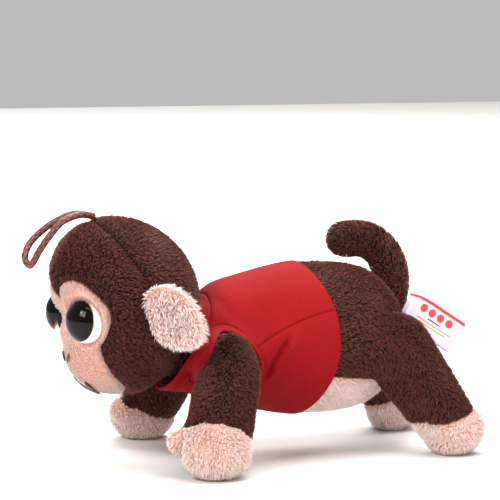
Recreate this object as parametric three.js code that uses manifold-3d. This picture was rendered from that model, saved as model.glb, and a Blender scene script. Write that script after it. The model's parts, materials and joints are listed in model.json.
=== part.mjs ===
// A small plush monkey standing on all fours: brown pile cloth, a pale face, hands and feet,
// a red sleeveless shirt, a curled tail, a folded satin label and a braided hang loop.
// Units are millimetres and +Z is up. The monkey looks along -Y and its left side is +X.
// The origin is on the ground, under the middle of the toy's bounding box.
import * as THREE from "three";
import { mergeVertices } from "three/addons/utils/BufferGeometryUtils.js";
import Module from "manifold-3d";

const wasm = await Module();
wasm.setup();

// ---------------------------------------------------------------- driving dimensions

const GAP = 0.3; // clearance between pieces that touch
const CLOTH = 1.5; // pile cloth: backing and pressed pile
const SWING_GAP = 2; // clearance round a piece that swings, cut with a coarse copy of it

const SKULL = { at: [0, -50, 60], radii: [29.5, 23.5, 27.5], tilt: 45 }; // longest from forehead to nape
const NAPE = { at: [0, -44.5, 45.5], radii: [23.5, 13.5, 13.5] };
const CHEEKS = { at: [0, -53, 51], radii: [25, 20, 17] };
const JAW = { at: [0, -55, 41], radii: [21, 16.5, 17] };
const BRIDGE = { at: [0, -82, 49], radii: [12, 14.5, 10.5] }; // the hollow between the eyes
const FACE = { at: [0, -70, 46.5], radii: [22.5, 23], depth: 40 }; // the pale face, seen from the front
const MUZZLE_TOP = 43.5; // height of the seam between the face mask and the muzzle
const CROWN_SEAM = { through: [0, -61.5, 84], normal: [0, 0.857, 0.515] }; // runs over the head, ear to ear

const EYE = { at: [14.5, -67.2, 51.5], yaw: 33, radius: 7.8, dome: 3.6, rim: 0.8 };
const EYE_POST = { radius: 1.4, length: 8 };
const EYE_WASHER = { outer: 5, inner: 1.8, thick: 1.2 };
const THREAD_RADIUS = 0.55;
const THREAD_LIFT = THREAD_RADIUS + GAP; // the thread lies on the cloth
const NOSTRIL = [
  // across from the middle, height
  [1.2, 36.6],
  [2.2, 37.7],
  [3.2, 39.2],
];
const MOUTH = { low: 25.6, curve: 0.075, across: [-7, -4.5, -1.5, 1.5, 4.5, 7] };

const NECK = { pivot: [0, -27, 46], radius: 8, collar: 3 }; // collar: room round it in the head's cloth
const HEAD_ROOM = { at: [0, -66, 69], radii: [90, 49.5, 48.5] }; // what the nodding, turning head needs
const EAR = { hinge: [30.8, -50, 55], yaw: 48, length: 20, height: 22, leaf: 2, root: 1 };

const TORSO_AXIS = 40.5; // height of the barrel's axis
const TORSO_WIDTH = 1.02; // the barrel is this much wider than it is tall
const TORSO_PROFILE = [
  // along Y, radius
  [-30, 14],
  [-26, 17.5],
  [-20, 19.8],
  [-10, 22.2],
  [2, 25],
  [13, 26.8],
  [24, 26.8],
  [34, 26],
  [40, 24.3],
  [46, 19.8],
  [50.5, 14],
  [53.4, 7.5],
];
const TORSO_TAIL_END = 54.5;
const RUMP_START = 38; // behind this the barrel rounds off
const BELLY_TOP = 27; // height of the seam between the brown back and the pale belly

const SHIRT = { inside: 0.3, outside: 1.7, neck: -24, hem: 16.5, neckband: 4.5 };
const SHIRT_SIDE_SEAM = { through: [0, -10, 41], normal: [0, -0.394, 0.919] };
const ARMHOLE = { inner: 12.9, outer: 15.6, reach: 13 };

const ARM = {
  root: [27, -20.5, 35.5],
  rootRadius: 11.7,
  wrist: [38.6, -28.5, 14.5],
  wristRadius: 11.6,
  paw: { at: [41.5, -30.6, 8.6], radii: [12, 12.4, 9.8] },
  thumb: { at: [34.5, -40, 12], radii: [5.6, 6, 5.4] },
  cuff: { through: [37.2, -27.5, 17.2], normal: [-0.45, 0.31, 0.84] },
};
const LEG = {
  root: [18, 45, 37],
  rootRadius: 13.4,
  wrist: [25.6, 58.5, 14.5],
  wristRadius: 12,
  paw: { at: [27, 62.6, 9.2], radii: [11.6, 12.8, 10.4] },
  cuff: { through: [27, 59.5, 13.2], normal: [0, -0.275, 0.961] },
  corner: [6.5, 27, 33], // the body's lower rear corner is cut away beyond this point
};
const CORNER_BLOCK = 60; // size of the cutting block, larger than the corner that it removes

const TAIL_RADIUS = 6;
const TAIL_PIVOT = [0, 46.5, 44];
const TAIL_PATH = [
  TAIL_PIVOT,
  [0, 50, 53],
  [0, 50.8, 62],
  [0, 47.5, 70],
  [0, 40.5, 75],
  [0, 32.4, 75.2],
];
const TAIL_OPENING = 46.5; // the tail's cloth tube is open below this height, inside the rump
const TAIL_SWING = [0, 30];

const LABEL = { hinge: [8.2, 55.2, 50], slope: -33, root: 1.8, length: 20, height: 12 };
const LABEL_SATIN = { thick: 0.35, spread: 1.1 }; // the strip is folded in two, its halves this far apart

const LOOP_RADIUS = 1.25;
const LOOP_PATH = [
  [1.6, -61.2, 86.2],
  [4.4, -67, 87],
  [5.5, -70.4, 86.3],
  [6.4, -73.6, 85],
  [7, -77.8, 81],
  [6.2, -79.7, 78.3],
  [5, -81.2, 75.5],
  [2, -83, 70.8],
  [-0.6, -83.8, 69.9],
  [-2.4, -84.6, 72.8],
  [-4.2, -83.4, 75],
  [-6, -81.2, 77.6],
  [-7, -74.2, 83],
  [-5.9, -70.5, 85.2],
  [-4.4, -67, 86.6],
  [-1.6, -61.2, 86.2],
];

const ROUND = 18; // facets round a large soft shape
const SMALL_ROUND = 12;
const INSIDE_ROUND = 10; // the hidden inside of a small soft shape
const COARSE_ROUND = 8;
const DOME_STEPS = 6;

// ---------------------------------------------------------------- materials

function cloth(color, roughness = 0.95) {
  return new THREE.MeshStandardMaterial({ color, roughness, metalness: 0 });
}
const BROWN_PLUSH = 0x4a2c22;
const PALE_PLUSH = 0xf2c6ae;
const PALE_VELOUR = 0xf0bfa4;
const RED_JERSEY = 0xb3202a;
const FIBRE_FILL = 0xf4f1ea;
const EYE_PLASTIC = 0x0a0908;
const NYLON = 0xe6e2d8;
const DARK_THREAD = 0x2a1512;
const SATIN = 0xf3f0f2;
const LOOP_CORD = 0x5c2219;

// ---------------------------------------------------------------- directions

const UP = [0, 0, 1];
const LEFTWARD = [1, 0, 0];
const BACKWARD = [0, 1, 0];
const SIDES = [
  { name: "left", side: 1 },
  { name: "right", side: -1 },
];

// The point, or the direction, on the other side of the body when side is -1.
function mirrored([x, y, z], side) {
  return [x * side, y, z];
}

// ---------------------------------------------------------------- solids

// A closed three.js geometry as a solid, with collapsed triangles dropped and its faces turned outwards.
function solidOf(geometry, matrix = new THREE.Matrix4()) {
  const bare = geometry.clone().applyMatrix4(matrix);
  bare.deleteAttribute("normal");
  bare.deleteAttribute("uv");
  const merged = mergeVertices(bare, 1e-4);
  const index = merged.index.array;
  const triangles = [];
  for (let i = 0; i < index.length; i += 3) {
    const [a, b, c] = [index[i], index[i + 1], index[i + 2]];
    if (a !== b && b !== c && c !== a) triangles.push([a, b, c]);
  }
  const positions = merged.attributes.position.array;
  const corner = (i) => new THREE.Vector3().fromArray(positions, i * 3);
  const sixfold = ([a, b, c]) => corner(a).dot(corner(b).cross(corner(c)));
  const volume = triangles.reduce((sum, triangle) => sum + sixfold(triangle), 0);
  const outward = volume < 0 ? triangles.map(([a, b, c]) => [a, c, b]) : triangles;
  return new wasm.Manifold(
    new wasm.Mesh({ numProp: 3, vertProperties: positions, triVerts: new Uint32Array(outward.flat()) }),
  );
}

function union(solids) {
  return solids.reduce((joined, solid) => joined.add(solid));
}

// An egg shape; tilt turns it about the crosswise axis, in degrees.
function ellipsoid({ at, radii, tilt = 0 }, grow = 0, round = ROUND) {
  const sphere = new THREE.SphereGeometry(1, round, Math.round(round * 0.62));
  const size = new THREE.Vector3(...radii).addScalar(grow);
  const lean = new THREE.Matrix4().makeRotationX(THREE.MathUtils.degToRad(tilt));
  const matrix = new THREE.Matrix4().makeTranslation(...at).multiply(lean).scale(size);
  return solidOf(sphere, matrix);
}

// The matrix that takes the Y axis at the origin to a direction at a point.
function along(at, direction) {
  const yAxis = new THREE.Vector3(...BACKWARD);
  const turn = new THREE.Quaternion().setFromUnitVectors(yAxis, direction.clone().normalize());
  return new THREE.Matrix4().compose(new THREE.Vector3(...at), turn, new THREE.Vector3(1, 1, 1));
}

function cylinder(at, direction, radius, from, to, round = SMALL_ROUND) {
  const rod = new THREE.CylinderGeometry(radius, radius, to - from, round);
  rod.translate(0, (from + to) / 2, 0);
  return solidOf(rod, along(at, direction));
}

// Everything on the far side of a plane, as a block much larger than the toy.
function beyond({ through, normal }, gap = GAP / 2) {
  const size = 400;
  const block = new THREE.BoxGeometry(size, size, size);
  block.translate(0, size / 2 + gap, 0);
  return solidOf(block, along(through, new THREE.Vector3(...normal)));
}

function before({ through, normal }, gap = GAP / 2) {
  return beyond({ through, normal: normal.map((n) => -n) }, gap);
}

function above(height) {
  return beyond({ through: [0, 0, height], normal: UP });
}

function below(height) {
  return before({ through: [0, 0, height], normal: UP });
}

function turned(solid, pivot, axis, degrees) {
  const angle = THREE.MathUtils.degToRad(degrees);
  const spin = new THREE.Matrix4().makeRotationAxis(new THREE.Vector3(...axis), angle);
  const matrix = new THREE.Matrix4()
    .makeTranslation(...pivot)
    .multiply(spin)
    .multiply(new THREE.Matrix4().makeTranslation(...pivot.map((v) => -v)));
  return solid.transform(matrix.elements);
}

// The space a solid passes through as it swings from one limit to the other.
function swept(solid, pivot, axis, [from, to], steps) {
  const copies = [];
  for (let i = 0; i <= steps; i++) {
    copies.push(turned(solid, pivot, axis, from + ((to - from) * i) / steps));
  }
  return union(copies);
}

// A round tube along points, with rounded ends.
function tube(points, radius, round, steps, roundEnds = true) {
  const path = new THREE.CatmullRomCurve3(points.map((p) => new THREE.Vector3(...p)));
  const section = new THREE.Shape();
  for (let i = 0; i < round; i++) {
    const angle = (i / round) * Math.PI * 2;
    const method = i === 0 ? "moveTo" : "lineTo";
    section[method](radius * Math.cos(angle), radius * Math.sin(angle));
  }
  section.closePath();
  const body = solidOf(new THREE.ExtrudeGeometry(section, { steps, extrudePath: path, curveSegments: 1 }));
  if (!roundEnds) return body;
  const ends = [points[0], points[points.length - 1]];
  return union([body, ...ends.map((at) => ellipsoid({ at, radii: [radius, radius, radius] }, -0.02, round))]);
}

// ---------------------------------------------------------------- the scene

const monkey = new THREE.Group();

// The largest of the separate bodies that a cut leaves: the others are specks.
function largest(solid) {
  return solid.decompose().reduce((best, body) => (body.volume() > best.volume() ? body : best));
}

function addPiece(name, solid, material) {
  const mesh = largest(solid).getMesh();
  const geometry = new THREE.BufferGeometry();
  geometry.setAttribute("position", new THREE.BufferAttribute(mesh.vertProperties, 3));
  geometry.setIndex(new THREE.BufferAttribute(mesh.triVerts, 1));
  const piece = new THREE.Mesh(geometry, material);
  piece.name = name;
  monkey.add(piece);
}

// ---------------------------------------------------------------- limbs

// A round rod between two points, with a ball at each end.
function capsule(from, to, radiusA, radiusB, arcSteps, round) {
  const profile = new THREE.Path();
  profile.absarc(0, 0, radiusA, -Math.PI / 2, 0, false);
  profile.absarc(0, from.distanceTo(to), radiusB, 0, Math.PI / 2, false);
  const lathe = new THREE.LatheGeometry(profile.getPoints(arcSteps), round);
  return solidOf(lathe, along(from.toArray(), to.clone().sub(from)));
}

// An arm or a leg: a tapered round limb from its root ball to a paw that is flat where it stands.
function limbSolid(limb, side, grow) {
  const root = new THREE.Vector3(...mirrored(limb.root, side));
  const wrist = new THREE.Vector3(...mirrored(limb.wrist, side));
  const round = grow < 0 ? INSIDE_ROUND : SMALL_ROUND;
  const parts = [
    capsule(root, wrist, limb.rootRadius + grow, limb.wristRadius + grow, 3, round),
    ellipsoid({ at: mirrored(limb.paw.at, side), radii: limb.paw.radii }, grow, round),
  ];
  if (limb.thumb && grow >= 0) {
    const thumb = { at: mirrored(limb.thumb.at, side), radii: limb.thumb.radii };
    parts.push(ellipsoid(thumb, grow, INSIDE_ROUND));
  }
  const ground = beyond({ through: [0, 0, Math.max(0, -grow)], normal: UP }, 0);
  return union(parts).intersect(ground);
}

function addLimb(limb, side, names) {
  const cuff = { through: mirrored(limb.cuff.through, side), normal: mirrored(limb.cuff.normal, side) };
  const skin = limbSolid(limb, side, 0).subtract(limbSolid(limb, side, -CLOTH));
  addPiece(names.skin, skin.intersect(beyond(cuff)), cloth(BROWN_PLUSH));
  addPiece(names.paw, skin.intersect(before(cuff)), cloth(PALE_PLUSH));
  addPiece(names.stuffing, limbSolid(limb, side, -CLOTH - GAP), cloth(FIBRE_FILL));
}

// The room that a limb's root ball needs in the body, with the cut-away corner beside a leg's shaft.
function limbRoom(limb, side) {
  const ball = limb.rootRadius + SWING_GAP;
  const socket = ellipsoid({ at: mirrored(limb.root, side), radii: [ball, ball, ball] }, 0, SMALL_ROUND);
  if (!limb.corner) return socket;
  const block = new THREE.BoxGeometry(CORNER_BLOCK, CORNER_BLOCK, CORNER_BLOCK);
  const half = CORNER_BLOCK / 2;
  const [inner, front, top] = limb.corner;
  const middle = [inner + half, front + half, top - half];
  return socket.add(solidOf(block, new THREE.Matrix4().makeTranslation(...mirrored(middle, side))));
}

// ---------------------------------------------------------------- head

function eyeFrame(side) {
  const yaw = THREE.MathUtils.degToRad(EYE.yaw);
  return {
    at: mirrored(EYE.at, side),
    direction: new THREE.Vector3(side * Math.sin(yaw), -Math.cos(yaw), 0),
  };
}

// The head's outer form, with the hollow between the eyes and the flats that the eyes are drawn down onto.
function headSolid(grow) {
  const round = grow < 0 ? SMALL_ROUND + 2 : ROUND;
  let head = union([SKULL, NAPE, CHEEKS, JAW].map((part) => ellipsoid(part, grow, round)));
  head = head.subtract(ellipsoid(BRIDGE, -grow, round));
  for (const { side } of SIDES) {
    const { at, direction } = eyeFrame(side);
    head = head.subtract(cylinder(at, direction, EYE.radius + 0.5 - grow, grow, 30));
  }
  return head;
}

function neckBall(radius) {
  return ellipsoid({ at: NECK.pivot, radii: [radius, radius, radius] }, 0, SMALL_ROUND);
}

// A cylinder on each eye's axis, from one depth to another, measured outwards from the eye's flat.
function eyeBores(radius, from, to) {
  return union(
    SIDES.map(({ side }) => {
      const { at, direction } = eyeFrame(side);
      return cylinder(at, direction, radius, from, to);
    }),
  );
}

// The upright oval that cuts the face's cloth out of the head.
function faceBlock(grow) {
  const size = new THREE.Vector3(FACE.radii[0] + grow, FACE.depth + grow, FACE.radii[1] + grow);
  const matrix = new THREE.Matrix4().makeTranslation(...FACE.at).scale(size);
  return solidOf(new THREE.CylinderGeometry(1, 1, 1, ROUND), matrix);
}

function addHead() {
  const posts = eyeBores(EYE_POST.radius + GAP, -EYE_POST.length - 1, 2);
  const washers = eyeBores(EYE_WASHER.outer + GAP, -CLOTH - EYE_WASHER.thick - 2 * GAP, 0);
  const skin = headSolid(0)
    .subtract(headSolid(-CLOTH))
    .subtract(neckBall(NECK.radius + NECK.collar))
    .subtract(posts);
  const faceRoom = faceBlock(GAP);
  const back = skin.intersect(beyond(CROWN_SEAM)).subtract(faceRoom);
  for (const { name, side } of SIDES) {
    const half = back.intersect(beyond({ through: [0, 0, 0], normal: mirrored(LEFTWARD, side) }));
    addPiece("head_back_panel_" + name, half, cloth(BROWN_PLUSH));
  }
  addPiece("head_front_panel", skin.intersect(before(CROWN_SEAM)).subtract(faceRoom), cloth(BROWN_PLUSH));
  const face = skin.intersect(faceBlock(0));
  addPiece("face_mask", face.intersect(above(MUZZLE_TOP)), cloth(PALE_VELOUR));
  addPiece("muzzle", face.intersect(below(MUZZLE_TOP)), cloth(PALE_VELOUR));
  const stuffing = headSolid(-CLOTH - GAP)
    .subtract(neckBall(NECK.radius + 3 * GAP))
    .subtract(posts)
    .subtract(washers);
  addPiece("head_stuffing", stuffing, cloth(FIBRE_FILL));
}

function addEyes() {
  for (const { name, side } of SIDES) {
    const { at, direction } = eyeFrame(side);
    const profile = [new THREE.Vector2(0, GAP), new THREE.Vector2(EYE.radius, GAP)];
    for (let i = 0; i <= DOME_STEPS; i++) {
      const angle = (i / DOME_STEPS) * (Math.PI / 2);
      const height = GAP + EYE.rim + (EYE.dome - EYE.rim) * Math.sin(angle);
      profile.push(new THREE.Vector2(EYE.radius * Math.cos(angle), height));
    }
    const dome = solidOf(new THREE.LatheGeometry(profile, ROUND), along(at, direction));
    const post = cylinder(at, direction, EYE_POST.radius, -EYE_POST.length, 1, 10);
    const plastic = new THREE.MeshStandardMaterial({ color: EYE_PLASTIC, roughness: 0.08, metalness: 0 });
    addPiece("eye_" + name, dome.add(post), plastic);
    const washerTop = -CLOTH - GAP;
    const ring = cylinder(at, direction, EYE_WASHER.outer, washerTop - EYE_WASHER.thick, washerTop);
    const bore = cylinder(at, direction, EYE_WASHER.inner, -20, 5);
    addPiece("eye_washer_" + name, ring.subtract(bore), cloth(NYLON, 0.5));
  }
}

// A point on the front of the jaw, lifted off the cloth by the thread's radius.
function onJaw(x, z) {
  const [rx, ry, rz] = JAW.radii.map((r) => r + THREAD_LIFT);
  const across = (x - JAW.at[0]) / rx;
  const up = (z - JAW.at[2]) / rz;
  return [x, JAW.at[1] - ry * Math.sqrt(1 - across * across - up * up), z];
}

function addStitches() {
  for (const { name, side } of SIDES) {
    const points = NOSTRIL.map(([across, height]) => onJaw(side * across, height));
    addPiece("nostril_stitch_" + name, tube(points, THREAD_RADIUS, 6, 4, false), cloth(DARK_THREAD, 0.6));
  }
  const smile = MOUTH.across.map((x) => onJaw(x, MOUTH.low + MOUTH.curve * x * x));
  addPiece("mouth_stitch", tube(smile, THREAD_RADIUS, 6, 10, false), cloth(DARK_THREAD, 0.6));
}

// ---------------------------------------------------------------- ears

// A rounded square, seen from the front, with its narrower edge sewn to the head.
function earOutline() {
  const half = EAR.height / 2;
  const outline = new THREE.Shape();
  outline.moveTo(EAR.root, -half * 0.62);
  const far = EAR.length;
  outline.bezierCurveTo(far * 0.3, -half * 1.15, far * 0.85, -half * 1.1, far, -half * 0.35);
  outline.bezierCurveTo(far * 1.02, half * 0.35, far * 0.8, half * 1.2, far * 0.35, half);
  outline.quadraticCurveTo(far * 0.08, half * 0.85, EAR.root, half * 0.62);
  outline.closePath();
  return outline;
}

function addEars() {
  const outline = earOutline();
  for (const { name, side } of SIDES) {
    const yaw = THREE.MathUtils.degToRad(EAR.yaw);
    const outward = new THREE.Vector3(side * Math.cos(yaw), Math.sin(yaw), 0);
    const upward = new THREE.Vector3(0, 0, 1);
    const forward = outward.clone().cross(upward).multiplyScalar(side);
    const frame = new THREE.Matrix4().makeBasis(outward, upward, forward);
    frame.setPosition(...mirrored(EAR.hinge, side));
    const leaves = { front: GAP / 2, back: -GAP / 2 - EAR.leaf };
    for (const [leaf, offset] of Object.entries(leaves)) {
      const settings = { depth: EAR.leaf, bevelEnabled: false, curveSegments: 6 };
      const slab = new THREE.ExtrudeGeometry(outline, settings);
      slab.translate(0, 0, offset);
      const color = leaf === "front" ? PALE_PLUSH : PALE_VELOUR;
      addPiece("ear_" + name + "_" + leaf, solidOf(slab, frame), cloth(color));
    }
  }
}

// ---------------------------------------------------------------- torso and shirt

// The barrel of the body, turned about a level axis. Its two ends move out as it grows, like its sides.
function torsoSolid(grow) {
  const profile = [new THREE.Vector2(0, TORSO_PROFILE[0][0] - grow)];
  for (const [y, radius] of TORSO_PROFILE) {
    const towardsNeck = y < TORSO_PROFILE[1][0] ? 1 : 0;
    const towardsRump = Math.max(0, (y - RUMP_START) / (TORSO_TAIL_END - RUMP_START));
    profile.push(new THREE.Vector2(radius + grow, y + grow * (towardsRump - towardsNeck)));
  }
  profile.push(new THREE.Vector2(0, TORSO_TAIL_END + grow));
  const barrel = new THREE.LatheGeometry(profile, grow < 0 ? SMALL_ROUND + 2 : ROUND);
  const place = new THREE.Matrix4().makeTranslation(0, 0, TORSO_AXIS);
  return solidOf(barrel, place.scale(new THREE.Vector3(TORSO_WIDTH, 1, 1)));
}

// The room that the tail's root needs in the rump as the tail lifts.
function tailRoom() {
  const root = capsule(
    new THREE.Vector3(...TAIL_PIVOT),
    new THREE.Vector3(...TAIL_PATH[2]),
    TAIL_RADIUS + SWING_GAP,
    TAIL_RADIUS + SWING_GAP,
    2,
    COARSE_ROUND,
  );
  return swept(root, TAIL_PIVOT, LEFTWARD, TAIL_SWING.map((v) => -v), 2);
}

function addTorso() {
  const neckRoom = neckBall(NECK.radius + 3 * GAP);
  const limbRooms = SIDES.flatMap(({ side }) => [limbRoom(ARM, side), limbRoom(LEG, side)]);
  const room = union([ellipsoid(HEAD_ROOM), tailRoom(), neckRoom, ...limbRooms]);
  const skin = torsoSolid(0).subtract(torsoSolid(-CLOTH)).subtract(room);
  const back = skin.intersect(above(BELLY_TOP));
  for (const { name, side } of SIDES) {
    const half = back.intersect(beyond({ through: [0, 0, 0], normal: mirrored(LEFTWARD, side) }));
    addPiece("back_panel_" + name, half, cloth(BROWN_PLUSH));
  }
  addPiece("belly_panel", skin.intersect(below(BELLY_TOP)), cloth(PALE_VELOUR));
  addPiece("torso_stuffing", torsoSolid(-CLOTH - GAP).subtract(room), cloth(FIBRE_FILL));
  addPiece("neck_stuffing", neckBall(NECK.radius), cloth(FIBRE_FILL));
  addShirt(room);
}

// A cylinder through the shirt round each arm.
function armholeCut(radius, side) {
  const reach = ARMHOLE.reach;
  return cylinder(mirrored(ARM.root, side), new THREE.Vector3(side, 0, 0), radius, -reach, reach, ROUND);
}

function addShirt(room) {
  const sleeveless = torsoSolid(SHIRT.outside)
    .subtract(torsoSolid(SHIRT.inside))
    .intersect(beyond({ through: [0, SHIRT.neck, 0], normal: BACKWARD }, 0))
    .intersect(before({ through: [0, SHIRT.hem, 0], normal: BACKWARD }, 0))
    .subtract(room);
  for (const { name, side } of SIDES) {
    const ring = armholeCut(ARMHOLE.outer, side).subtract(armholeCut(ARMHOLE.inner, side));
    addPiece("armhole_band_" + name, sleeveless.intersect(ring), cloth(RED_JERSEY));
  }
  const bandRooms = SIDES.map(({ side }) => armholeCut(ARMHOLE.outer + GAP, side));
  const betweenBands = sleeveless.subtract(union(bandRooms));
  const neckband = betweenBands.intersect(ellipsoid(HEAD_ROOM, SHIRT.neckband));
  addPiece("shirt_neckband", neckband, cloth(RED_JERSEY));
  const panels = betweenBands.subtract(ellipsoid(HEAD_ROOM, SHIRT.neckband + GAP));
  addPiece("shirt_back", panels.intersect(beyond(SHIRT_SIDE_SEAM)), cloth(RED_JERSEY));
  addPiece("shirt_front", panels.intersect(before(SHIRT_SIDE_SEAM)), cloth(RED_JERSEY));
}

// ---------------------------------------------------------------- tail, label and hang loop

function addTail() {
  const mouth = above(TAIL_OPENING);
  const skin = tube(TAIL_PATH, TAIL_RADIUS, 12, 11).subtract(tube(TAIL_PATH, TAIL_RADIUS - CLOTH, 10, 11));
  addPiece("tail_skin", skin.intersect(mouth), cloth(BROWN_PLUSH));
  addPiece("tail_stuffing", tube(TAIL_PATH, TAIL_RADIUS - CLOTH - GAP, 10, 11), cloth(FIBRE_FILL));
}

// A strip of satin folded in half: its two ends are sewn into the rump and the fold is free.
function addLabel() {
  const half = LABEL_SATIN.spread / 2 + LABEL_SATIN.thick;
  const strip = new THREE.Shape();
  strip.moveTo(0, -half);
  strip.lineTo(LABEL.length - half, -half);
  strip.absarc(LABEL.length - half, 0, half, -Math.PI / 2, Math.PI / 2, false);
  strip.lineTo(0, half);
  strip.lineTo(0, half - LABEL_SATIN.thick);
  strip.lineTo(LABEL.length - half, half - LABEL_SATIN.thick);
  strip.absarc(LABEL.length - half, 0, half - LABEL_SATIN.thick, Math.PI / 2, -Math.PI / 2, true);
  strip.lineTo(0, LABEL_SATIN.thick - half);
  strip.closePath();
  const settings = { depth: LABEL.height, bevelEnabled: false, curveSegments: 5 };
  const slab = new THREE.ExtrudeGeometry(strip, settings);
  slab.translate(LABEL.root, 0, -LABEL.height / 2);
  const slope = THREE.MathUtils.degToRad(LABEL.slope);
  const backward = new THREE.Vector3(0, Math.cos(slope), Math.sin(slope));
  const sideways = new THREE.Vector3(-1, 0, 0);
  const upward = backward.clone().cross(sideways);
  const frame = new THREE.Matrix4().makeBasis(backward, sideways, upward).setPosition(...LABEL.hinge);
  addPiece("sewn_label", solidOf(slab, frame), cloth(SATIN, 0.4));
}

function addHangLoop() {
  addPiece("hang_loop", tube(LOOP_PATH, LOOP_RADIUS, 8, 26, false), cloth(LOOP_CORD, 0.8));
}

addHead();
addEyes();
addStitches();
addEars();
addTorso();
for (const { name, side } of SIDES) {
  addLimb(ARM, side, { skin: "arm_" + name, paw: "hand_" + name, stuffing: "arm_stuffing_" + name });
  addLimb(LEG, side, { skin: "leg_" + name, paw: "foot_" + name, stuffing: "leg_stuffing_" + name });
}
addTail();
addLabel();
addHangLoop();

export default monkey;
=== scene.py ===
# %% [markdown]
# # A small plush monkey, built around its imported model
#
# The toy is short pile cloth sewn into panels, turned right side out and stuffed with fibre. It stands on
# all fours in a red knit shirt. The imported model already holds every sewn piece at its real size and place,
# with a hinge at each soft root, but its faces are coarse. This lesson grows a fine skin over each of those
# pieces, covers it with real pile, and gives every finish its own material.
#
# Lengths are written in millimetres and turned to metres with MM, because Blender works in metres.

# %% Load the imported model
import json
import math
import bmesh
import bpy
import numpy as np
from mathutils import Matrix, Vector
from mathutils.bvhtree import BVHTree
from mathutils.kdtree import KDTree


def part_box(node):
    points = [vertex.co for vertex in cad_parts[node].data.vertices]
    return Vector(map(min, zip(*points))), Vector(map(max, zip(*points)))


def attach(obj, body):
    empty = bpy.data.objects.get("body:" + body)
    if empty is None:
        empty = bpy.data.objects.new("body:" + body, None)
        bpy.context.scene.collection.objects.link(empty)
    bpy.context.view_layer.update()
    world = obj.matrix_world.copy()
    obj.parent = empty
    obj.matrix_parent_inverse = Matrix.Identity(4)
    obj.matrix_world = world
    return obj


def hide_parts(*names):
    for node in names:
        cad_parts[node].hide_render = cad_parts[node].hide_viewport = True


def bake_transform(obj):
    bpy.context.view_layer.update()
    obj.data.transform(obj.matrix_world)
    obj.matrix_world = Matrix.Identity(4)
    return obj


MM = 0.001
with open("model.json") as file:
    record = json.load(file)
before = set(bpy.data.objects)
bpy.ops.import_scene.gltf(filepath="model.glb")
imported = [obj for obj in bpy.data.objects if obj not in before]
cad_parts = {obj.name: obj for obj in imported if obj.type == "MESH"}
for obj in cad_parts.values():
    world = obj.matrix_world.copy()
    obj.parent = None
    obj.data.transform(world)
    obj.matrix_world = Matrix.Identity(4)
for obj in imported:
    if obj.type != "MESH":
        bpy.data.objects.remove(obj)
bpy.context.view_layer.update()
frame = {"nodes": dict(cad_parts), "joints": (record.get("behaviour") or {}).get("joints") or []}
hinges = {joint["name"]: joint for joint in frame["joints"]}

# %% [markdown]
# ## The camera
#
# A long lens from a low angle keeps the toy's proportions true and shows its left side, with the face turned
# three quarters away. The camera is placed from the aim point by an azimuth, an elevation and a distance, so
# each number means something. The sensor is 36 mm wide.

# %% Place the camera
AIM = Vector((-8.1, -0.4, 71.5)) * MM
AZIMUTH = math.radians(70.0)
ELEVATION = math.radians(5.7)
DISTANCE = 0.85

level = math.cos(ELEVATION)
look = Vector((-math.sin(AZIMUTH) * level, math.cos(AZIMUTH) * level, -math.sin(ELEVATION)))
camera_data = bpy.data.cameras.new("camera")
camera_data.lens = 171.4
camera_data.sensor_width = 36
camera_data.clip_start = 0.01
camera = bpy.data.objects.new("camera", camera_data)
camera.location = AIM - look * DISTANCE
camera.rotation_euler = look.to_track_quat("-Z", "Y").to_euler()
bpy.context.scene.collection.objects.link(camera)
bpy.context.scene.camera = camera
print("camera at", [round(v, 3) for v in camera.location])

# %% [markdown]
# ## Small tools for finishes
#
# Colours are written as sRGB hex, as a maker would read them off a swatch, and Blender's sockets want linear
# numbers, so one function turns them. One more function adds a node with its settings and its links.

# %% Colour and node helpers
def linear(hex_colour):
    channels = [int(hex_colour[i:i + 2], 16) / 255 for i in (1, 3, 5)]
    return [c / 12.92 if c <= 0.04045 else ((c + 0.055) / 1.055) ** 2.4 for c in channels] + [1]


def add(tree, kind, inputs=None, **settings):
    made = tree.nodes.new(kind)
    for key, value in settings.items():
        setattr(made, key, value)
    for key, value in (inputs or {}).items():
        if isinstance(value, bpy.types.NodeSocket):
            tree.links.new(value, made.inputs[key])
        else:
            made.inputs[key].default_value = value
    return made


def blank(name, **sockets):
    """A material with one Principled shader, and its tree. Keywords are socket names with _ for spaces."""
    material = bpy.data.materials.new(name)
    material.use_nodes = True
    tree = material.node_tree
    shader = tree.nodes["Principled BSDF"]
    for key, value in sockets.items():
        shader.inputs[key.replace("_", " ")].default_value = value
    return material, tree, shader


def stored(tree, name):
    """A number kept on each point of the mesh."""
    return add(tree, "ShaderNodeAttribute", attribute_name=name).outputs["Fac"]


def tinted(tree, shader, colour):
    tree.links.new(colour, shader.inputs["Base Color"])


def ramp(tree, factor, stops):
    """A colour ramp with (position, hex) stops."""
    made = add(tree, "ShaderNodeValToRGB", {"Fac": factor})
    elements = made.color_ramp.elements
    while len(elements) < len(stops):
        elements.new(0.5)
    for element, (position, colour) in zip(elements, stops):
        element.position = position
        element.color = linear(colour)
    return made.outputs["Color"]


def maths(tree, operation, *values):
    return add(tree, "ShaderNodeMath", dict(enumerate(values)), operation=operation).outputs[0]


def spread(tree, low, high, factor):
    """A number that runs from low to high as factor runs from 0 to 1."""
    inputs = {"Value": factor, "To Min": low, "To Max": high}
    return add(tree, "ShaderNodeMapRange", inputs).outputs["Result"]


def noise_of(tree, size_mm, detail=2.0):
    """Noise whose lumps are about size_mm across on the object."""
    place = add(tree, "ShaderNodeTexCoord").outputs["Object"]
    inputs = {"Vector": place, "Scale": 1 / (size_mm * MM), "Detail": detail}
    return add(tree, "ShaderNodeTexNoise", inputs).outputs["Fac"]


def shaded(tree, colour, value):
    """A colour made darker or lighter by a number, 1 leaving it as it is."""
    return add(tree, "ShaderNodeHueSaturation", {"Color": colour, "Value": value}).outputs["Color"]


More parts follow.
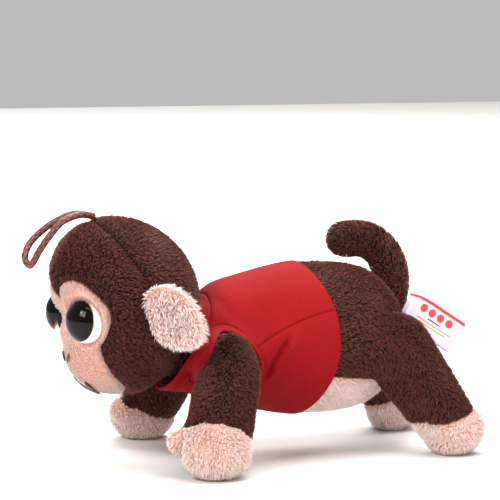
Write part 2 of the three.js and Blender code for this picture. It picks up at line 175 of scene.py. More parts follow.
def bumped(tree, shader, height, distance_mm, strength=1.0):
    inputs = {"Height": height, "Distance": distance_mm * MM, "Strength": strength}
    tree.links.new(add(tree, "ShaderNodeBump", inputs).outputs["Normal"], shader.inputs["Normal"])


# %% [markdown]
# ## Pile cloth
#
# Plush is polyester: fine glossy fibres knitted into a backing and sheared short. One fibre shines a little
# (IOR 1.57, roughness near 0.6), and thousands of them glow softly at the edges, which is what sheen gives.
# The pile is real geometry here, so the colour only has to run from a dark root, where light is trapped, to
# a light tip. Two numbers stored on the fibres drive it: reach, 0 at the root and 1 at the tip, and tone,
# which changes from tuft to tuft.

# %% Pile and backing materials
def pile_cloth(name, stops, sheen, sheen_colour, blush=None, contrast=0.5):
    material, tree, shader = blank(
        name, Roughness=0.62, IOR=1.57, Sheen_Weight=sheen, Sheen_Roughness=0.45,
        Sheen_Tint=linear(sheen_colour), Specular_IOR_Level=0.35)
    reach = stored(tree, "reach")
    tone = stored(tree, "tone")
    colour = ramp(tree, reach, stops)
    if blush:
        warm = stored(tree, "blush")
        mixed = add(tree, "ShaderNodeMix", {"Factor": warm}, data_type="RGBA", blend_type="MULTIPLY")
        tree.links.new(colour, mixed.inputs[6])
        mixed.inputs[7].default_value = linear(blush)
        colour = mixed.outputs[2]
    lumps = spread(tree, 0.88, 1.12, noise_of(tree, 11))
    value = maths(tree, "MULTIPLY", spread(tree, 1 - contrast, 1 + contrast, tone), lumps)
    tinted(tree, shader, shaded(tree, colour, value))
    return material


def knit_backing(name, dark, light):
    """The knitted backing under the pile: matt, and rough at the size of its loops, about 1 mm."""
    material, tree, shader = blank(name, Roughness=0.9, IOR=1.57, Specular_IOR_Level=0.2)
    loops = noise_of(tree, 1.0, 3.0)
    tinted(tree, shader, ramp(tree, loops, [(0.3, dark), (0.7, light)]))
    bumped(tree, shader, loops, 0.4)
    return material


BROWN_PILE = pile_cloth(
    "sheared polyester plush, brown", [(0.0, "#170705"), (0.45, "#3c160e"), (1.0, "#7f3825")],
    0.1, "#b0604a")
BROWN_BACKING = knit_backing("plush backing, brown", "#140807", "#2a130e")
PALE_PILE = pile_cloth(
    "long polyester plush, pale pink", [(0.0, "#e3b8aa"), (0.5, "#f9dfd7"), (1.0, "#fff3ef")],
    0.15, "#fff2ec", contrast=0.12)
PALE_BACKING = knit_backing("plush backing, pale pink", "#c98c78", "#e8b9a5")
FACE_PILE = pile_cloth(
    "velour, flesh pink", [(0.0, "#c09f95"), (0.5, "#d0bbb4"), (1.0, "#ddcec9")],
    0.15, "#fff0ea", blush="#ffe2da", contrast=0.1)
print("pile materials", BROWN_PILE.name, "/", PALE_PILE.name, "/", FACE_PILE.name)

# %% [markdown]
# ## Mesh helpers
#
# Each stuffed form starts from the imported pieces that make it: they are joined, voxel remeshed into one even
# skin, and relaxed until the facets are gone. Relaxing shrinks a round form a little, and the pile stands out
# from it, so it is then moved in or out along its normals, until the two together make the real size. The
# seams are cut afterwards, exactly along a border, so that each panel has a clean edge.

# %% Read and write meshes as arrays
def points_of(mesh):
    flat = np.empty(len(mesh.vertices) * 3, np.float32)
    mesh.vertices.foreach_get("co", flat)
    return flat.reshape(-1, 3).astype(float)


def set_points(mesh, points):
    mesh.vertices.foreach_set("co", points.astype(np.float32).ravel())
    mesh.update()


def normals_of(mesh):
    flat = np.empty(len(mesh.vertices) * 3, np.float32)
    mesh.vertex_normals.foreach_get("vector", flat)
    return flat.reshape(-1, 3).astype(float)


def store(mesh, **numbers):
    """Keeps one number for each point, under each name."""
    for name, values in numbers.items():
        kept = mesh.attributes.new(name, "FLOAT", "POINT")
        kept.data.foreach_set("value", np.asarray(values, np.float32))


def mesh_from(bm, name):
    mesh = bpy.data.meshes.new(name)
    bm.to_mesh(mesh)
    bm.free()
    return mesh


def surface_of(mesh):
    """A quick finder for the nearest place on a mesh."""
    bm = bmesh.new()
    bm.from_mesh(mesh)
    tree = BVHTree.FromBMesh(bm)
    bm.free()
    return tree


def centre_of(node):
    return Vector(points_of(frame["nodes"][node].data).mean(axis=0))


def placed(name, mesh):
    made = bpy.data.objects.new(name, mesh)
    bpy.context.scene.collection.objects.link(made)
    return made


def applied(name, mesh, *modifiers):
    """The mesh after a list of (modifier type, settings)."""
    helper = placed("helper", mesh)
    for kind, settings in modifiers:
        modifier = helper.modifiers.new(kind, kind)
        for key, value in settings.items():
            setattr(modifier, key, value)
    evaluated = helper.evaluated_get(bpy.context.evaluated_depsgraph_get())
    result = bpy.data.meshes.new_from_object(evaluated)
    bpy.data.objects.remove(helper)
    result.name = name
    return result


def joined(bm, rings):
    """Faces between each ring of points and the next."""
    for low_ring, high_ring in zip(rings, rings[1:]):
        for k in range(len(low_ring)):
            after = (k + 1) % len(low_ring)
            bm.faces.new((low_ring[k], low_ring[after], high_ring[after], high_ring[k]))


def one_finish(mesh, material):
    """Gives the whole mesh one material, smooth shading and its own places on the texture sheet."""
    mesh.materials.clear()
    mesh.materials.append(material)
    mesh.shade_smooth()
    own_patches(mesh)


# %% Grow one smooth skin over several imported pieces
def ball(bm, centre, radii):
    place = Matrix.Translation(centre) @ Matrix.Diagonal((*radii, 1))
    bmesh.ops.create_icosphere(bm, subdivisions=3, radius=1, matrix=place)


def outer_shell(bm):
    """Keeps only the island of faces that spans the most space."""
    left = set(bm.verts)
    best, best_span = None, 0
    while left:
        island, queue = set(), [next(iter(left))]
        while queue:
            vert = queue.pop()
            if vert in island:
                continue
            island.add(vert)
            queue.extend(edge.other_vert(vert) for edge in vert.link_edges)
        left -= island
        span = max(v.co.y for v in island) - min(v.co.y for v in island)
        if span > best_span:
            best, best_span = island, span
    bmesh.ops.delete(bm, geom=[v for v in bm.verts if v not in best], context="VERTS")


def relaxed(mesh, rounds):
    points = points_of(mesh)
    ends = np.empty(len(mesh.edges) * 2, np.int32)
    mesh.edges.foreach_get("vertices", ends)
    a, b = ends.reshape(-1, 2).T
    count = len(points)
    degree = np.maximum(np.bincount(a, minlength=count) + np.bincount(b, minlength=count), 1)
    for _ in range(rounds):
        for k in range(3):
            column = points[:, k]
            total = np.bincount(a, column[b], count) + np.bincount(b, column[a], count)
            points[:, k] = 0.5 * column + 0.5 * total / degree
    set_points(mesh, points)


def form(name, nodes, balls=(), hull=False, voxel=1.2, rounds=20, grow=0.5):
    """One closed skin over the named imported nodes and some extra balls. Lengths are in millimetres."""
    bm = bmesh.new()
    for node in nodes:
        bm.from_mesh(frame["nodes"][node].data)
    if hull:
        made = bmesh.ops.convex_hull(bm, input=bm.verts[:])
        bmesh.ops.delete(bm, geom=list(set(made["geom_interior"] + made["geom_unused"])), context="VERTS")
    for centre, radii in balls:
        ball(bm, Vector(centre), [r * MM for r in radii])
    rough = mesh_from(bm, name)
    skin = applied(name, rough, ("REMESH", {"mode": "VOXEL", "voxel_size": voxel * MM}))
    bm = bmesh.new()
    bm.from_mesh(skin)
    outer_shell(bm)
    bm.to_mesh(skin)
    bm.free()
    relaxed(skin, rounds)
    set_points(skin, points_of(skin) + normals_of(skin) * grow * MM)
    print(name, "skin has", len(skin.polygons), "faces")
    return skin


# %% Press soft dents into a skin
def dented(skin, dents):
    """Presses soft dents into a skin, each a line from, to, with a depth, a width and a direction."""
    points = points_of(skin) / MM
    for start, end, depth, width, direction in dents:
        start, line = np.array(start, float), np.array(end, float) - np.array(start, float)
        share = np.clip((points - start) @ line / max(line @ line, 1e-9), 0, 1)
        away = np.linalg.norm(points - start - share[:, None] * line, axis=1)
        points += np.exp(-(away / width) ** 2)[:, None] * depth * np.array(direction, float)
    set_points(skin, points * MM)


def mirrored(dents, s):
    return [((a[0] * s, *a[1:]), (b[0] * s, *b[1:]), depth, width, (d[0] * s, *d[1:]))
            for a, b, depth, width, d in dents]


# %% Cut a skin along a border, and part it into panels
def cut_along(bm, border):
    """Splits every edge where border changes sign, so that panels meet in a clean line."""
    values = {v: border(v.co / MM) for v in bm.verts}
    crossing = [e for e in bm.edges if values[e.verts[0]] * values[e.verts[1]] < 0]
    cuts = []
    for edge in crossing:
        first, second = edge.verts
        share = values[first] / (values[first] - values[second])
        _, vert = bmesh.utils.edge_split(edge, first, min(max(share, 0.02), 0.98))
        cuts.append(vert)
    bmesh.ops.connect_verts(bm, verts=cuts)
    return cuts


def panels(skin, borders, choose, groove=0.6, width=0.9):
    """Cuts the skin along every border, presses a groove there, and returns one mesh per panel name.
    choose takes a point in millimetres and gives the panel's name."""
    bm = bmesh.new()
    bm.from_mesh(skin)
    for border in borders:
        cut_along(bm, border)
    bm.normal_update()
    bm.faces.index_update()
    chosen = [choose(face.calc_center_median() / MM) for face in bm.faces]
    edge_verts = set()
    for edge in bm.edges:
        if len({chosen[f.index] for f in edge.link_faces}) > 1:
            edge_verts.update(edge.verts)
    seam = KDTree(len(edge_verts) or 1)
    for i, vert in enumerate(edge_verts):
        seam.insert(vert.co, i)
    if not edge_verts:
        seam.insert(Vector((9, 9, 9)), 0)
    seam.balance()
    for vert in bm.verts:
        away = seam.find(vert.co)[2] / MM
        if away < 3 * width:
            vert.co -= vert.normal * (groove * MM * math.exp(-(away / width) ** 2))
    made = {}
    for name in sorted(set(chosen)):
        part = bm.copy()
        part.faces.ensure_lookup_table()
        others = [part.faces[i] for i, panel in enumerate(chosen) if panel != name]
        bmesh.ops.delete(part, geom=others, context="FACES")
        made[name] = mesh_from(part, name)
    bm.free()
    return made


# %% [markdown]
# ## The pile itself
#
# Hair particles would look right in a render, but the toy has to be a mesh that can be exported and printed,
# so every fibre is a closed three-sided spike with one bend. Neighbouring fibres lean to a common tip, which
# makes the tufts that plush shows after handling. Real fibres are 0.02 mm thick, far too fine to show, so
# each spike stands for a lock of them and is drawn about 0.3 mm thick.

# %% Sow the fibres
def unit(vectors):
    return vectors / np.maximum(np.linalg.norm(vectors, axis=1, keepdims=True), 1e-12)


def sown(mesh, per_mm2, rng):
    """Evenly spread roots on a mesh: their places and normals."""
    mesh.calc_loop_triangles()
    corners = np.empty(len(mesh.loop_triangles) * 3, np.int32)
    mesh.loop_triangles.foreach_get("vertices", corners)
    corners = corners.reshape(-1, 3)
    points, normals = points_of(mesh), normals_of(mesh)
    a, b, c = (points[corners[:, k]] for k in range(3))
    area = np.linalg.norm(np.cross(b - a, c - a), axis=1) / 2
    total = area.sum()
    count = int(total / MM ** 2 * per_mm2)
    along = (np.arange(count) + rng.random(count)) / count * total
    face = np.minimum(np.searchsorted(np.cumsum(area), along), len(area) - 1)
    u, v = rng.random(count), rng.random(count)
    flip = u + v > 1
    u[flip], v[flip] = 1 - u[flip], 1 - v[flip]
    weights = np.stack([1 - u - v, u, v], axis=1)[:, :, None]
    roots = (points[corners[face]] * weights).sum(axis=1)
    return roots, unit((normals[corners[face]] * weights).sum(axis=1))


def waves(points, rng, size_mm):
    """A smooth wandering number from -1 to 1 for each point."""
    total = np.zeros(len(points))
    for _ in range(4):
        direction = rng.normal(size=3)
        direction *= 2 * math.pi / (size_mm * MM * np.linalg.norm(direction)) * rng.uniform(0.6, 1.4)
        total += np.sin(points @ direction + rng.uniform(0, 2 * math.pi))
    return total / 4


def fibres(roots, normals, flow, kind, rng, seam_shortening_and_shade):
    """Points and stored numbers of the spikes on the given roots. The seam factor shortens the ones beside a
    seam and lowers their tone, painted shade along the seam.
    """
    count = len(roots)
    nap = flow(roots / MM)
    nap = unit(nap - normals * (nap * normals).sum(axis=1, keepdims=True))
    across = np.cross(normals, nap)
    swirl = kind["swirl"] * waves(roots, rng, 14) + rng.normal(0, kind["stray"], count)
    nap = nap * np.cos(swirl)[:, None] + across * np.sin(swirl)[:, None]
    across = np.cross(normals, nap)
    lean = kind["lean"] + 0.25 * waves(roots, rng, 5) + rng.normal(0, 0.16, count)
    lean = np.clip(lean, 0.05, 1.35)[:, None]
    loose = rng.random(count) < kind["loose"]
    lean[loose] *= 0.4
    length = (kind["length"] * MM * rng.uniform(0.75, 1.2, count) * seam_shortening_and_shade)[:, None]
    low = normals * np.cos(lean * 0.55) + nap * np.sin(lean * 0.55)
    high = normals * np.cos(lean * 1.15) + nap * np.sin(lean * 1.15)
    middle = roots + low * length * 0.5
    tip = middle + high * length * 0.5
    leaders = rng.permutation(count)[:max(1, int(count / kind["tuft"]))]
    tree = KDTree(len(leaders))
    for i, leader in enumerate(leaders):
        tree.insert(roots[leader], i)
    tree.balance()
    led = np.array([leaders[tree.find(root)[1]] for root in roots], int)
    middle += (middle[led] - middle) * kind["gather"] * 0.35
    tip += (tip[led] - tip) * kind["gather"]
    # fibres beside a seam get a lower tone: painted shade along the seam's groove
    tone = (0.45 * rng.random(count)[led] + 0.55 * rng.random(count)) * seam_shortening_and_shade
    wide = kind["thick"] / 2 * MM * rng.uniform(0.8, 1.2, count)[:, None]
    points = np.empty((count, 7, 3))
    lift = np.cross(across, high)
    for k, angle in enumerate((0, 2 * math.pi / 3, 4 * math.pi / 3)):
        round_it = across * math.cos(angle) + lift * math.sin(angle) * 0.7
        points[:, k] = roots - normals * 0.3 * MM + round_it * wide
        points[:, 3 + k] = middle + round_it * wide * 0.85
    points[:, 6] = tip
    return points.reshape(-1, 3), np.repeat(tone, 7), np.tile([0, 0, 0, 0.5, 0.5, 0.5, 1.0], count)


SOLE = 0.1  # the toy's weight presses its soles flat, this far above the ground
SPIKE_QUADS = np.array([[0, 1, 4, 3], [1, 2, 5, 4], [2, 0, 3, 5]])
SPIKE_POINTS = np.array([[3, 4, 6], [4, 5, 6], [5, 3, 6], [0, 2, 1]])


# %% Put skin and fibres in one mesh
def own_patches(mesh):
    """Gives each face or spike its own small square of the texture sheet, so that colours can be baked."""
    layer = mesh.uv_layers.new(name="OFBake")
    starts = np.empty(len(mesh.polygons), np.int32)
    sizes = np.empty(len(mesh.polygons), np.int32)
    mesh.polygons.foreach_get("loop_start", starts)
    mesh.polygons.foreach_get("loop_total", sizes)
    side = math.ceil(math.sqrt(len(starts)))
    face = np.repeat(np.arange(len(starts)), sizes)
    step = np.arange(len(face)) - starts[face]
    angle = 2 * math.pi * (step + 0.5) / sizes[face]
    u = (face % side + 0.5 + 0.36 * np.cos(angle)) / side
    v = (face // side + 0.5 + 0.36 * np.sin(angle)) / side
    layer.data.foreach_set("uv", np.stack([u, v], axis=1).astype(np.float32).ravel())


def open_edge(mesh):
    """A quick finder for the points on a panel's sewn edge."""
    times = np.zeros(len(mesh.edges), int)
    sides = np.empty(len(mesh.loops), np.int32)
    mesh.loops.foreach_get("edge_index", sides)
    np.add.at(times, sides, 1)
    rim = {v for i in np.flatnonzero(times == 1) for v in mesh.edges[i].vertices}
    if not rim:
        return None
    tree = KDTree(len(rim))
    for v in rim:
        tree.insert(mesh.vertices[v].co, v)
    tree.balance()
    return tree


def plush(name, skin, kind, flow, rng, hidden=()):
    """A piece of pile cloth: the skin as its backing, and fibres on all of it that isn't hidden."""
    roots, normals = sown(skin, kind["per_mm2"], rng)
    for covers in hidden:
        keep = np.array([not covers(Vector(root)) for root in roots], bool)
        roots, normals = roots[keep], normals[keep]
    rim = open_edge(skin)
    seam_shortening_and_shade = np.array([0.35 + 0.65 * min(1, rim.find(root)[2] / MM / 1.3) for root in roots]) if rim else 1.0
    spikes, tone, reach = fibres(roots, normals, flow, kind, rng, seam_shortening_and_shade)
    base = points_of(skin)
    for standing in (base, spikes):
        standing[:, 2] = np.maximum(standing[:, 2], SOLE * MM)
    quads = [tuple(p.vertices) for p in skin.polygons]
    corners = [i for quad in quads for i in quad]
    sizes = [len(quad) for quad in quads]
    offsets = len(base) + 7 * np.arange(len(roots))[:, None, None]
    spike_corners = [(SPIKE_QUADS[None] + offsets).reshape(-1), (SPIKE_POINTS[None] + offsets).reshape(-1)]
    all_corners = np.concatenate([np.array(corners, int), *spike_corners])
    all_sizes = np.concatenate([sizes, np.full(3 * len(roots), 4), np.full(4 * len(roots), 3)]).astype(int)
    mesh = bpy.data.meshes.new(name)
    mesh.vertices.add(len(base) + len(spikes))
    mesh.vertices.foreach_set("co", np.concatenate([base, spikes]).astype(np.float32).ravel())
    mesh.loops.add(len(all_corners))
    mesh.loops.foreach_set("vertex_index", all_corners.astype(np.int32))
    mesh.polygons.add(len(all_sizes))
    mesh.polygons.foreach_set("loop_start", (np.cumsum(all_sizes) - all_sizes).astype(np.int32))
    slots = np.repeat([0, 1], [len(sizes), 7 * len(roots)])
    mesh.polygons.foreach_set("material_index", slots.astype(np.int32))
    mesh.polygons.foreach_set("use_smooth", np.ones(len(all_sizes), bool))
    mesh.update(calc_edges=True)
    store(mesh, tone=np.concatenate([np.full(len(base), 0.3), tone]),
          reach=np.concatenate([np.zeros(len(base)), reach]))
    if "blush" in kind:
        store(mesh, blush=kind["blush"](np.concatenate([base, spikes]) / MM))
    mesh.materials.append(kind["backing"])
    mesh.materials.append(kind["pile"])
    own_patches(mesh)
    piece = placed(name, mesh)
    print(name, "has", len(roots), "fibres,", len(mesh.polygons), "faces")
    return piece


def stands_for(node):
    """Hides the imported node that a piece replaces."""
    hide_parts(node)


# %% Fibre fill
def fibre_fill():
    material, tree, shader = blank("polyester fibre fill, white", Roughness=0.95, IOR=1.57, Sheen_Weight=0.4)
    wisps = noise_of(tree, 3.0, 4.0)
    tinted(tree, shader, ramp(tree, wisps, [(0.3, "#dcd8cf"), (0.7, "#f6f4ee")]))
    bumped(tree, shader, wisps, 0.8)
    return material


FILL = fibre_fill()
PILE_DEPTH = 1.8


def filling(node, skin, depth=PILE_DEPTH):
    """The stuffing of a part: its skin, drawn in by the thickness of the cloth."""
    core = skin.copy()
    set_points(core, points_of(core) - normals_of(core) * depth * MM)
    one_finish(core, FILL)
    piece = placed(node + "_fibre", core)
    stands_for(node)
    return piece


# %% Pile lengths for each cloth
# loose is the share of fibres that stand up; tuft is how many lean to one tip, and gather how far they lean
BROWN = {"per_mm2": 4.6, "loose": 0.12, "length": 1.9, "thick": 0.34, "lean": 1.0, "swirl": 0.55,
         "stray": 0.14, "tuft": 6, "gather": 0.4, "pile": BROWN_PILE, "backing": BROWN_BACKING}
PALE = {"per_mm2": 4.6, "loose": 0.15, "length": 2.0, "thick": 0.32, "lean": 0.8, "swirl": 0.5,
        "stray": 0.2, "tuft": 7, "gather": 0.35, "pile": PALE_PILE, "backing": PALE_BACKING}
FACE = {"per_mm2": 6.0, "loose": 0.05, "length": 0.9, "thick": 0.26, "lean": 1.0, "swirl": 0.3,
        "stray": 0.3, "tuft": 8, "gather": 0.35, "pile": FACE_PILE, "backing": PALE_BACKING}


def inside(skin, depth_mm=0.0):
    """A test that says whether a point is deeper than depth_mm inside a closed skin."""
    tree = surface_of(skin)

    def test(point):
        near, normal, _, _ = tree.find_nearest(point)
        return (point - near).dot(normal) < -depth_mm * MM
    return test


# %% [markdown]
# ## The body under the shirt
#
# The barrel is cut from two brown back panels with a seam down the spine, and a pale belly panel. Its packed
# pieces have rooms cut out for the swinging legs, so the hull of them gives back the full barrel, and a ball
# at each hip makes the haunch that the leg grows out of.

# %% Body
def hinge_at(name):
    return Vector(hinges[name]["pos_m"])


HIP_RADII = (12.4, 12.4, 12.2)
NECK_RADII = (12.5, 12.5, 12.5)
hips = [(hinge_at(side + "_hip"), HIP_RADII) for side in ("left", "right")]
NECK_END = Vector((0, -34, 41.5)) * MM
BODY_PANELS = ["back_panel_left", "back_panel_right", "belly_panel"]
body_skin = form("body", BODY_PANELS, hips + [(NECK_END, NECK_RADII)], hull=True, rounds=30, grow=-0.5)
RUMP_DENTS = [((20, 40, 60), (22, 51, 51), 2.6, 7.5, (-0.6, -0.55, -0.35))]
for s in (1, -1):
    dented(body_skin, mirrored(RUMP_DENTS, s))


def belly_line(p):
    """Above 0 on the brown side of the belly's border, which drops a little towards the tail."""
    return p.z - (29.3 - 0.14 * (p.y - 19)) + (20 if p.y < -24 else 0)


def body_panel(p):
    if belly_line(p) < 0:
        return "belly"
    return "back_left" if p.x > 0 else "back_right"


body_parts = panels(body_skin, [belly_line, lambda p: p.x], body_panel)

# %% [markdown]
# ## The shirt
#
# It is a sleeveless shirt of fine cotton jersey, pulled tight over the stuffed body, with a narrow folded
# band at the neck and at each arm. A cloth simulation would only press it onto the body, so it is made as
# the body's own skin, with the shoulders added, moved out by the cloth's thickness. The creases are pressed
# in where the cloth is pulled, round the armhole.

# %% Jersey material
JERSEY_WALE = 0.75  # one column of loops; real jersey has 0.6 mm, drawn a little coarser to show


def jersey(name):
    """Cotton jersey: matt (roughness 0.8), a soft bloom at grazing angles, and columns of small V loops, with
    painted shade between the columns and painted highlight along them.
    """
    material, tree, shader = blank(
        name, Roughness=0.78, IOR=1.5, Sheen_Weight=0.05, Sheen_Roughness=0.4, Sheen_Tint=linear("#ff3a30"),
        Specular_IOR_Level=0.1)
    around = stored(tree, "around")
    along = stored(tree, "along")
    column = maths(tree, "DIVIDE", around, JERSEY_WALE)
    half = maths(tree, "PINGPONG", column, 0.5)
    row = maths(tree, "ADD", maths(tree, "DIVIDE", along, JERSEY_WALE * 0.8), half)
    loop = maths(tree, "MULTIPLY", maths(tree, "SINE", maths(tree, "MULTIPLY", row, 2 * math.pi)), 0.35)
    rib = maths(tree, "SINE", maths(tree, "MULTIPLY", half, 2 * math.pi))
    height = maths(tree, "ADD", loop, rib)
    bumped(tree, shader, height, 0.08, 0.6)
    worn = noise_of(tree, 18)
    colour = ramp(tree, worn, [(0.3, "#820b10"), (0.7, "#8c0d12")])
    # painted shade and highlight on the knit: the colour is darker between the columns of loops and lighter
    # along them
    lift = spread(tree, 0.93, 1.05, rib)
    tinted(tree, shader, shaded(tree, colour, lift))
    return material


RED_JERSEY = jersey("cotton jersey, red")

# %% Shirt borders
NECK_POINT = Vector((0, -22.5, 62.8))
NECK_NORMAL = Vector((0, 0.926, -0.378))
NECKBAND = 3.6
HEM_REACH = 20.3
HEM_BOW = 0.0091
ARMHOLE = 12.0
ARMBAND = 1.7
arm_pivot = hinge_at("left_shoulder") / MM


def neck_line(p):
    return (p - NECK_POINT).dot(NECK_NORMAL)


def hem_line(p):
    return HEM_REACH - HEM_BOW * (p.z - 43) ** 2 - p.y


def arm_ring(p):
    """Distance out from the armhole's edge, seen from the side. Only the flanks count."""
    if abs(p.x) < 13:
        return 40.0
    rise = min(max((p.z - arm_pivot.z) / ARMHOLE, 0), 1)
    ahead = 1.25 if p.y < arm_pivot.y else 1
    return math.hypot((p.y - arm_pivot.y) * (ahead + 0.35 * rise), p.z - arm_pivot.z) - ARMHOLE


def side_seam(p):
    if abs(p.x) < 6:
        return 10.0 if p.z > 40 else -10.0
    return p.z - (46.9 + 0.5 * p.y - 0.0095 * p.y ** 2)


def shirt_panel(p):
    if neck_line(p) < 0 or hem_line(p) < 0 or arm_ring(p) < 0:
        return "none"
    if arm_ring(p) < ARMBAND:
        return "arm_left" if p.x > 0 else "arm_right"
    if neck_line(p) < NECKBAND:
        return "neck"
    return "back" if side_seam(p) > 0 else "front"


# %% Creases
CREASES = [
    # from, to (along the body, height), depth, width, and the side that swells
    ((3.0, 45.5), (-7.5, 29.0), 1.7, 0.9, 1),
    ((12, 36), (2, 20), 0.35, 2.2, 1),
    ((-9, 47), (-4, 55), 0.3, 2.0, -1),
    ((-17, 51), (-19, 58), 0.35, 2.0, 1),
]


def creased(points):
    """How far each point of the flanks moves out, in millimetres."""
    total = np.zeros(len(points))
    seen = np.stack([points[:, 1], points[:, 2]], axis=1)
    for start, end, depth, width, swell in CREASES:
        line = np.array(end, float) - np.array(start, float)
        length = np.linalg.norm(line)
        line /= length
        rel = seen - np.array(start)
        along = rel @ line / length
        off = rel @ np.array([-line[1], line[0]]) * swell
        fade = np.clip(along * 4, 0, 1) * np.clip((1 - along) * 4, 0, 1)
        dip = -np.exp(-(off / width) ** 2) + 0.7 * np.exp(-((off - 2.2 * width) / (1.6 * width)) ** 2)
        total += depth * fade * dip
    return total * (np.abs(points[:, 0]) > 8)


# %% Cut, crease and thicken the shirt
SHIRT_OUT = 1.4
SHIRT_THICK = 0.9
SHIRT_RIPPLE = 0.15
SHIRT_NECK_RADII = (17.0, 14.0, 17.5)
SHOULDER_RADII = (11.5, 11.6, 11.4)
shoulders = [(hinge_at(side + "_shoulder") - Vector((s * 3.5 * MM, 0, 0)), SHOULDER_RADII)
             for side, s in (("left", 1), ("right", -1))]
shirt_skin = form("shirt", BODY_PANELS, shoulders + [(NECK_END, SHIRT_NECK_RADII)], hull=True,
                  rounds=60, grow=SHIRT_OUT)
shirt_skin = applied("shirt", shirt_skin, ("SUBSURF", {"levels": 1, "render_levels": 1}))
shirt_points = points_of(shirt_skin)
ripple = SHIRT_RIPPLE * np.sin(shirt_points[:, 1] / MM / 6.5 + shirt_points[:, 0] / MM / 9)
shirt_move = creased(shirt_points / MM) + ripple
set_points(shirt_skin, shirt_points + normals_of(shirt_skin) * shirt_move[:, None] * MM)
shirt_borders = [neck_line, hem_line, arm_ring, lambda p: arm_ring(p) - ARMBAND,
                 lambda p: neck_line(p) - NECKBAND, side_seam]
shirt_parts = panels(shirt_skin, shirt_borders, shirt_panel, groove=0.45, width=0.45)


def turn_with_head(piece):
    """Bakes the piece's placement into its mesh."""
    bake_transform(piece)


BARREL_HEIGHT = 40.5
BARREL_RADIUS = 25  # turns the angle round the barrel into millimetres of cloth


def jersey_piece(name, mesh, node):
    cloth = applied(name, mesh, ("SOLIDIFY", {"thickness": SHIRT_THICK * MM, "offset": -1.0}))
    points = points_of(cloth) / MM
    around = np.arctan2(points[:, 0], points[:, 2] - BARREL_HEIGHT) * BARREL_RADIUS
    store(cloth, around=around, along=points[:, 1])
    one_finish(cloth, RED_JERSEY)
    piece = placed(name, cloth)
    if node == "shirt_neckband":
        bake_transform(piece)
    else:
        turn_with_head(piece)
    stands_for(node)
    return piece


for part, node in (("back", "shirt_back"), ("front", "shirt_front"), ("neck", "shirt_neckband"),
                   ("arm_left", "armhole_band_left"), ("arm_right", "armhole_band_right")):
    jersey_piece(node + "_jersey", shirt_parts[part], node)


# %% Plush on the body, bare where the shirt hides it
def under_shirt(point):
    p = point / MM
    return neck_line(p) > 1.5 and hem_line(p) > 1.5 and arm_ring(p) > -2


seeds = np.random.SeedSequence(20)
random_for = iter([np.random.default_rng(child) for child in seeds.spawn(60)])


HAUNCH_START = 18
HAUNCH_LENGTH = 30


def body_nap(points):
    """The nap runs back along the barrel, and turns down over the haunches into the legs."""
    turn = np.clip((points[:, 1] - HAUNCH_START) / HAUNCH_LENGTH, 0, 1)
    return np.stack([np.zeros(len(points)), 1 - 0.75 * turn, -0.3 - 0.7 * turn], axis=1)


for part, node, kind, slot in (("back_left", "back_panel_left", BROWN, "brown_plush"),
                               ("back_right", "back_panel_right", BROWN, "brown_plush"),
                               ("belly", "belly_panel", PALE, "pale_velour")):
    short = dict(kind, length=1.8) if part == "belly" else kind
    piece = plush(node + "_plush", body_parts[part], short, body_nap, next(random_for), [under_shirt])
    turn_with_head(piece)
    stands_for(node)

turn_with_head(filling("torso_stuffing", body_skin))

# %% [markdown]
# ## Arms and legs
#
# Each limb is a stuffed tube with a pale paw sewn on at the cuff, and the paw rides on the limb.

# %% Limbs
in_body = inside(body_skin, 1.5)


def nearer(first, second):
    """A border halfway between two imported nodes: below 0 nearer the first."""
    one, other = (surface_of(frame["nodes"][node].data) for node in (first, second))
    return lambda p: (one.find_nearest(p * MM)[3] - other.find_nearest(p * MM)[3]) / MM


def down_the_limb(points):
    """Limb hair runs down to the paw."""
    return np.tile(np.array([0.0, 0.12, -1.0]), (len(points), 1))


def slimmed(skin, pivot):
    """Narrows the top of an arm, where its sides run up to the shoulder."""
    points = points_of(skin) / MM
    rise = np.clip((points[:, 2] - (pivot.z - 8)) / 18, 0, 1)
    points[:, 1] = pivot.y + (points[:, 1] - pivot.y) * (1 - 0.3 * rise)
    set_points(skin, points * MM)


PAW_DENTS = {
    "arm": [((40, -43, 17), (38, -40, 3), 2.2, 1.8, (-0.3, 0.8, 0))],
    "leg": [((40, 63, 0), (37, 63, 10), 1.2, 1.6, (-0.9, 0, 0.3)),
            ((29, 37, 29), (30, 46, 8), 5.6, 9.5, (0, 1, 0)),
            ((27, 30, 32), (29, 36, 25), 4.5, 6.5, (0, 1, 0))],
}
CUFF_DROP = {"arm": 1.6, "leg": 0.0}

for side, s in (("left", 1), ("right", -1)):
    for limb, paw, hinge in (("arm", "hand", "shoulder"), ("leg", "foot", "hip")):
        limb_node, paw_node = f"{limb}_{side}", f"{paw}_{side}"
        skin = form(limb_node, [limb_node, paw_node], voxel=1.0, rounds=12, grow=-0.9)
        if limb == "arm":
            slimmed(skin, hinge_at(f"{side}_{hinge}") / MM)
        dented(skin, mirrored(PAW_DENTS[limb], s))
        border = nearer(limb_node, paw_node)
        drop = 2 * CUFF_DROP[limb]

        def cuff(p, border=border, drop=drop):
            return border(p) - drop

        parts = panels(skin, [cuff], lambda p: limb_node if cuff(p) < 0 else paw_node, groove=0.5, width=0.8)
        nap = body_nap if limb == "leg" else down_the_limb
        limb_piece = plush(limb_node + "_plush", parts[limb_node], BROWN, nap, next(random_for), [in_body])
        paw_piece = plush(paw_node + "_plush", parts[paw_node], PALE, down_the_limb, next(random_for))
        low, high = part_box(paw_node)
        body = f"{side}_{limb}"
        core = filling(f"{limb}_stuffing_{side}", skin)
        for bending in (limb_piece, core):
            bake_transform(bending)
        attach(paw_piece, body)
        stands_for(limb_node)
        stands_for(paw_node)

# %% [markdown]
# ## Tail
#
# A thin stuffed tube with its tip curled forwards. The nap follows the curl, so the flow turns about the
# middle of the hook.

# %% Tail
HOOK = np.array([0, 38.0, 62.0])


def above(height):
    return Vector((0, 0, height * MM))


def along_tail(points):
    away = points - HOOK
    return np.stack([np.zeros(len(points)), -away[:, 2], away[:, 1]], axis=1)


